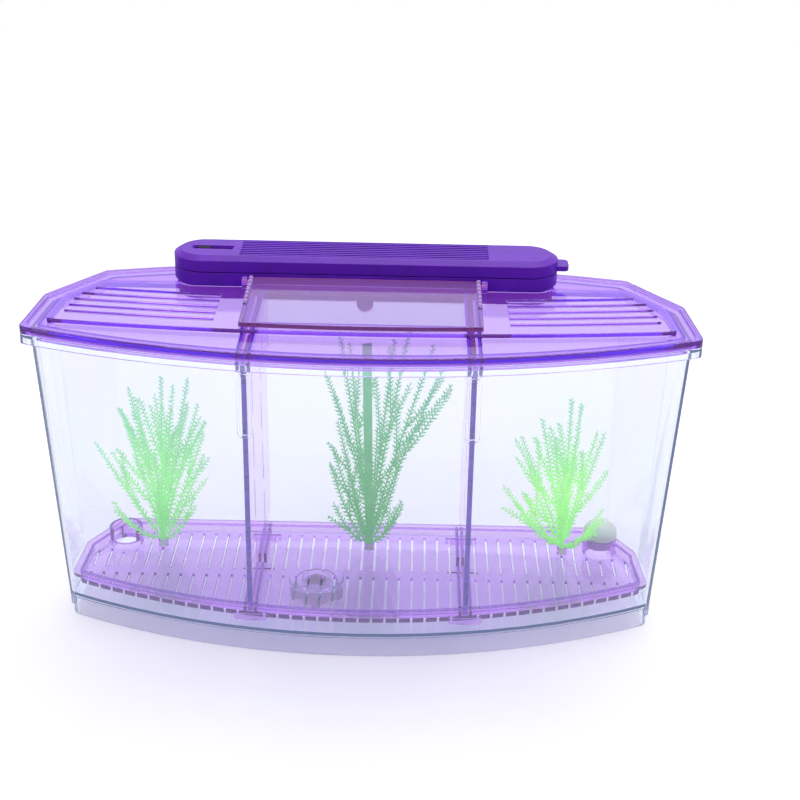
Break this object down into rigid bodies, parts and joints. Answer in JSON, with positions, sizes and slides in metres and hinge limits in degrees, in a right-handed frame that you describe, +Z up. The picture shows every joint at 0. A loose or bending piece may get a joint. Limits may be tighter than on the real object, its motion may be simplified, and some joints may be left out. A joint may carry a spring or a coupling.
{
  "type": "fish breeding box",
  "caption": "Clear bow-fronted desktop fish breeding box with slotted dividers over a purple grating, and a purple lid that carries a feeding flap and a battery light bar.",
  "frame": {"origin": "middle of the footprint, on the surface that the plinth stands on", "axes": "+X to the right along the length, +Z up, the bowed front faces -Y"},
  "size_m": [0.2296, 0.089, 0.1292],
  "materials": {
    "clear": "clear moulded polystyrene",
    "purple": "tinted clear moulded polystyrene",
    "bar": "satin moulded ABS",
    "white": "moulded polyethylene",
    "grey": "moulded soft plastic",
    "rubber": "moulded rubber ring",
    "plant_pale": "moulded soft polyethylene",
    "plant_dark": "moulded soft polyethylene",
    "plant_yellow": "moulded soft polyethylene",
    "board": "glass-fibre board under solder mask",
    "led": "white lamp package",
    "steel": "nickel-plated steel",
    "cell": "printed sleeve over a steel can",
    "black": "moulded ABS"
  },
  "bodies": {
    "tank": {"tank": "clear", "drain_sleeve": "clear", "drain_seal": "rubber"},
    "drain_plug": {"drain_plug": "grey"},
    "tray": {"tray": "purple", "plant_left": "plant_pale", "plant_centre": "plant_dark", "plant_right": "plant_yellow"},
    "port_cap": {"port_cap": "white"},
    "divider_left": {"divider_left": "clear"},
    "divider_right": {"divider_right": "clear"},
    "lid": {"lid": "purple"},
    "feeding_flap": {"feeding_flap": "purple"},
    "light": {"light_case": "bar", "light_lens": "clear", "led_board": "board", "led_1": "led", "led_2": "led", "led_3": "led", "led_4": "led", "led_5": "led", "led_6": "led", "board_screw_left": "steel", "board_screw_right": "steel", "battery_1": "cell", "battery_2": "cell", "contact_spring": "steel", "contact_plate": "steel"},
    "light_cover": {"light_cover": "bar", "switch_body": "black"},
    "switch_knob": {"switch_knob": "black"}
  },
  "joints": [
    {"name": "lid_lift", "type": "slide", "parent": "tank", "child": "lid", "axis": [0, 0, 1], "range_m": [0, 0.16]},
    {"name": "divider_left_lift", "type": "slide", "parent": "tank", "child": "divider_left", "axis": [0, 0, 1], "range_m": [0, 0.112]},
    {"name": "divider_right_lift", "type": "slide", "parent": "tank", "child": "divider_right", "axis": [0, 0, 1], "range_m": [0, 0.112]},
    {"name": "tray_lift", "type": "slide", "parent": "tank", "child": "tray", "axis": [0, 0, 1], "range_m": [0, 0.048]},
    {"name": "port_cap_lift", "type": "slide", "parent": "tray", "child": "port_cap", "axis": [0, 0, 1], "range_m": [0, 0.015]},
    {"name": "drain_plug_turn", "type": "hinge", "parent": "tank", "child": "drain_plug", "pos_m": [-0.0164, -0.0085, 0.005], "axis": [0, 0, 1], "range_deg": [0, 90]},
    {"name": "flap_hinge", "type": "hinge", "parent": "lid", "child": "feeding_flap", "pos_m": [0, 0.0122, 0.1212], "axis": [-1, 0, 0], "range_deg": [0, 80]},
    {"name": "light_lift", "type": "slide", "parent": "lid", "child": "light", "axis": [0, 0, 1], "range_m": [0, 0.03]},
    {"name": "light_cover_lift", "type": "slide", "parent": "light", "child": "light_cover", "axis": [0, 0, 1], "range_m": [0, 0.015]},
    {"name": "switch_slide", "type": "slide", "parent": "light_cover", "child": "switch_knob", "axis": [1, 0, 0], "range_m": [0, 0.006]}
  ],
  "couplings": [
    {"joint": "divider_left_lift", "follows": "lid_lift", "ratio": 0.7},
    {"joint": "divider_right_lift", "follows": "lid_lift", "ratio": 0.7},
    {"joint": "tray_lift", "follows": "lid_lift", "ratio": 0.3}
  ]
}
